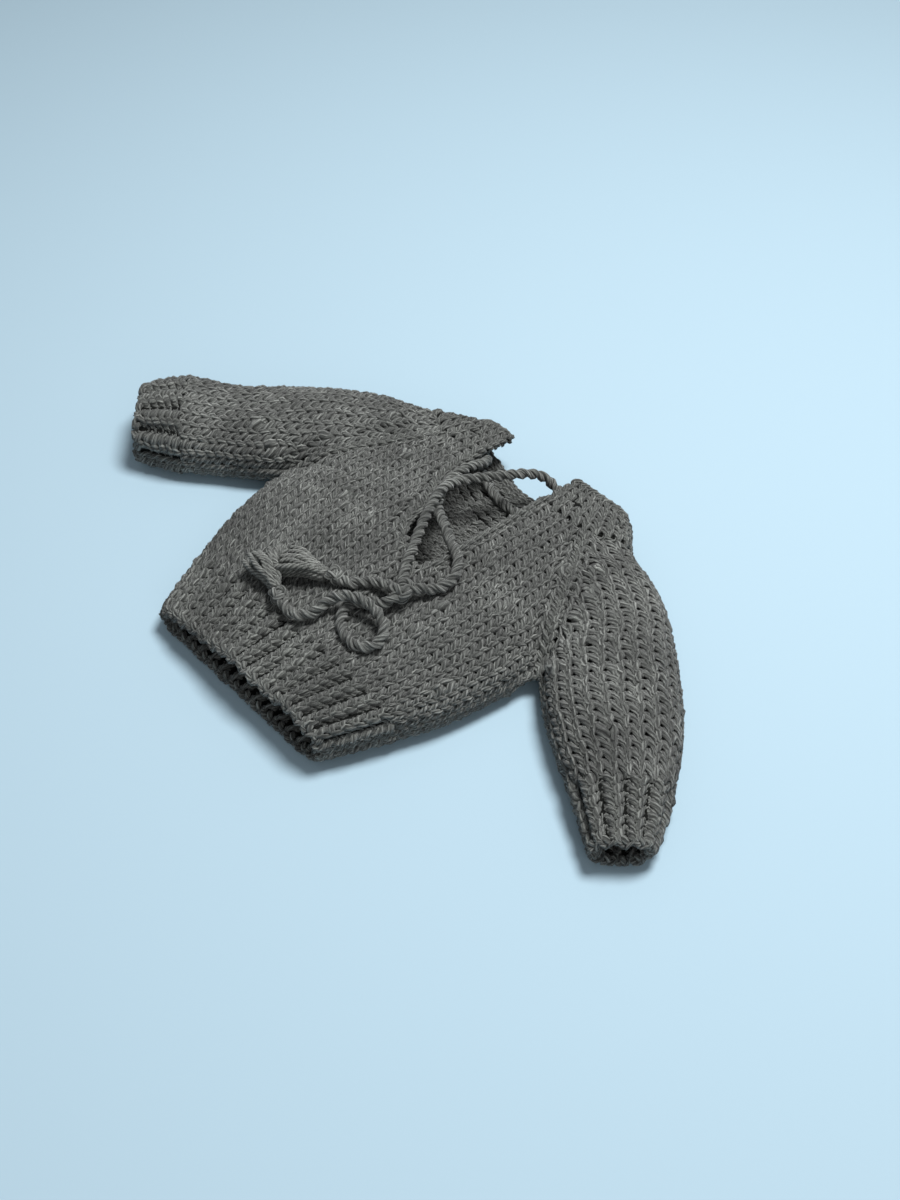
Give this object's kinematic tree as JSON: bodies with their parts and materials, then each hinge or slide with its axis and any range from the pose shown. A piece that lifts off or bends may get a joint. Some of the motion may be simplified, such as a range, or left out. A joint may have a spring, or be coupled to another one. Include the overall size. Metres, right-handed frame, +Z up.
{
  "type": "doll pullover",
  "caption": "Small hand-knitted raglan pullover for a doll or toy animal, laid on its back, with ribbed hem and cuffs and a drawstring at the neck",
  "frame": {"origin": "middle of the garment's footprint, on the surface it lies on", "axes": "+X to the wearer's left, +Y from the hem to the neck, +Z up from the surface, out of the front"},
  "size_m": [0.311, 0.164, 0.0356],
  "materials": {
    "knit": "matte marled wool yarn in stockinette, slightly fuzzy",
    "rib": "matte marled wool yarn in 1 x 1 rib",
    "seam": "the same yarn, sewn edge to edge",
    "cord": "matte two-ply twisted cord of the same yarn",
    "tassel": "cut ends of the same yarn, untwisted and fuzzy"
  },
  "bodies": {
    "torso": {"front_panel": "knit", "back_panel": "knit", "front_hem_rib": "rib", "back_hem_rib": "rib", "neckband": "rib", "left_side_seam": "seam", "right_side_seam": "seam", "left_front_raglan_seam": "seam", "left_back_raglan_seam": "seam", "right_front_raglan_seam": "seam", "right_back_raglan_seam": "seam", "drawstring_band_run": "cord", "drawstring_left_run": "cord", "drawstring_right_run": "cord", "drawstring_left_tail": "cord", "drawstring_right_tail": "cord", "tie_knot": "cord", "left_end_knot": "cord", "right_end_knot": "cord"},
    "left_sleeve": {"left_sleeve": "knit", "left_sleeve_seam": "seam"},
    "right_sleeve": {"right_sleeve": "knit", "right_sleeve_seam": "seam"},
    "left_cuff": {"left_cuff_rib": "rib"},
    "right_cuff": {"right_cuff_rib": "rib"},
    "left_tassel": {"left_tassel": "tassel"},
    "right_tassel": {"right_tassel": "tassel"}
  },
  "joints": [
    {"name": "left_sleeve_lift", "type": "hinge", "parent": "torso", "child": "left_sleeve", "pos_m": [0.042, 0.061, 0.021], "axis": [0.4875, -0.8731, 0], "range_deg": [0, 60]},
    {"name": "right_sleeve_lift", "type": "hinge", "parent": "torso", "child": "right_sleeve", "pos_m": [-0.042, 0.061, 0.021], "axis": [0.4875, 0.8731, 0], "range_deg": [0, 60]},
    {"name": "left_cuff_bend", "type": "hinge", "parent": "left_sleeve", "child": "left_cuff", "pos_m": [0.118, -0.0265, 0.0208], "axis": [-0.7333, -0.6799, 0], "range_deg": [0, 45]},
    {"name": "right_cuff_bend", "type": "hinge", "parent": "right_sleeve", "child": "right_cuff", "pos_m": [-0.118, -0.0265, 0.0208], "axis": [-0.7333, 0.6799, 0], "range_deg": [0, 45]},
    {"name": "left_tassel_lift", "type": "hinge", "parent": "torso", "child": "left_tassel", "pos_m": [-0.0036, -0.035, 0.0317], "axis": [-0.3914, 0.9202, 0], "range_deg": [0, 60]},
    {"name": "right_tassel_lift", "type": "hinge", "parent": "torso", "child": "right_tassel", "pos_m": [-0.0125, -0.0527, 0.0294], "axis": [0.343, 0.9393, 0], "range_deg": [0, 60]}
  ]
}
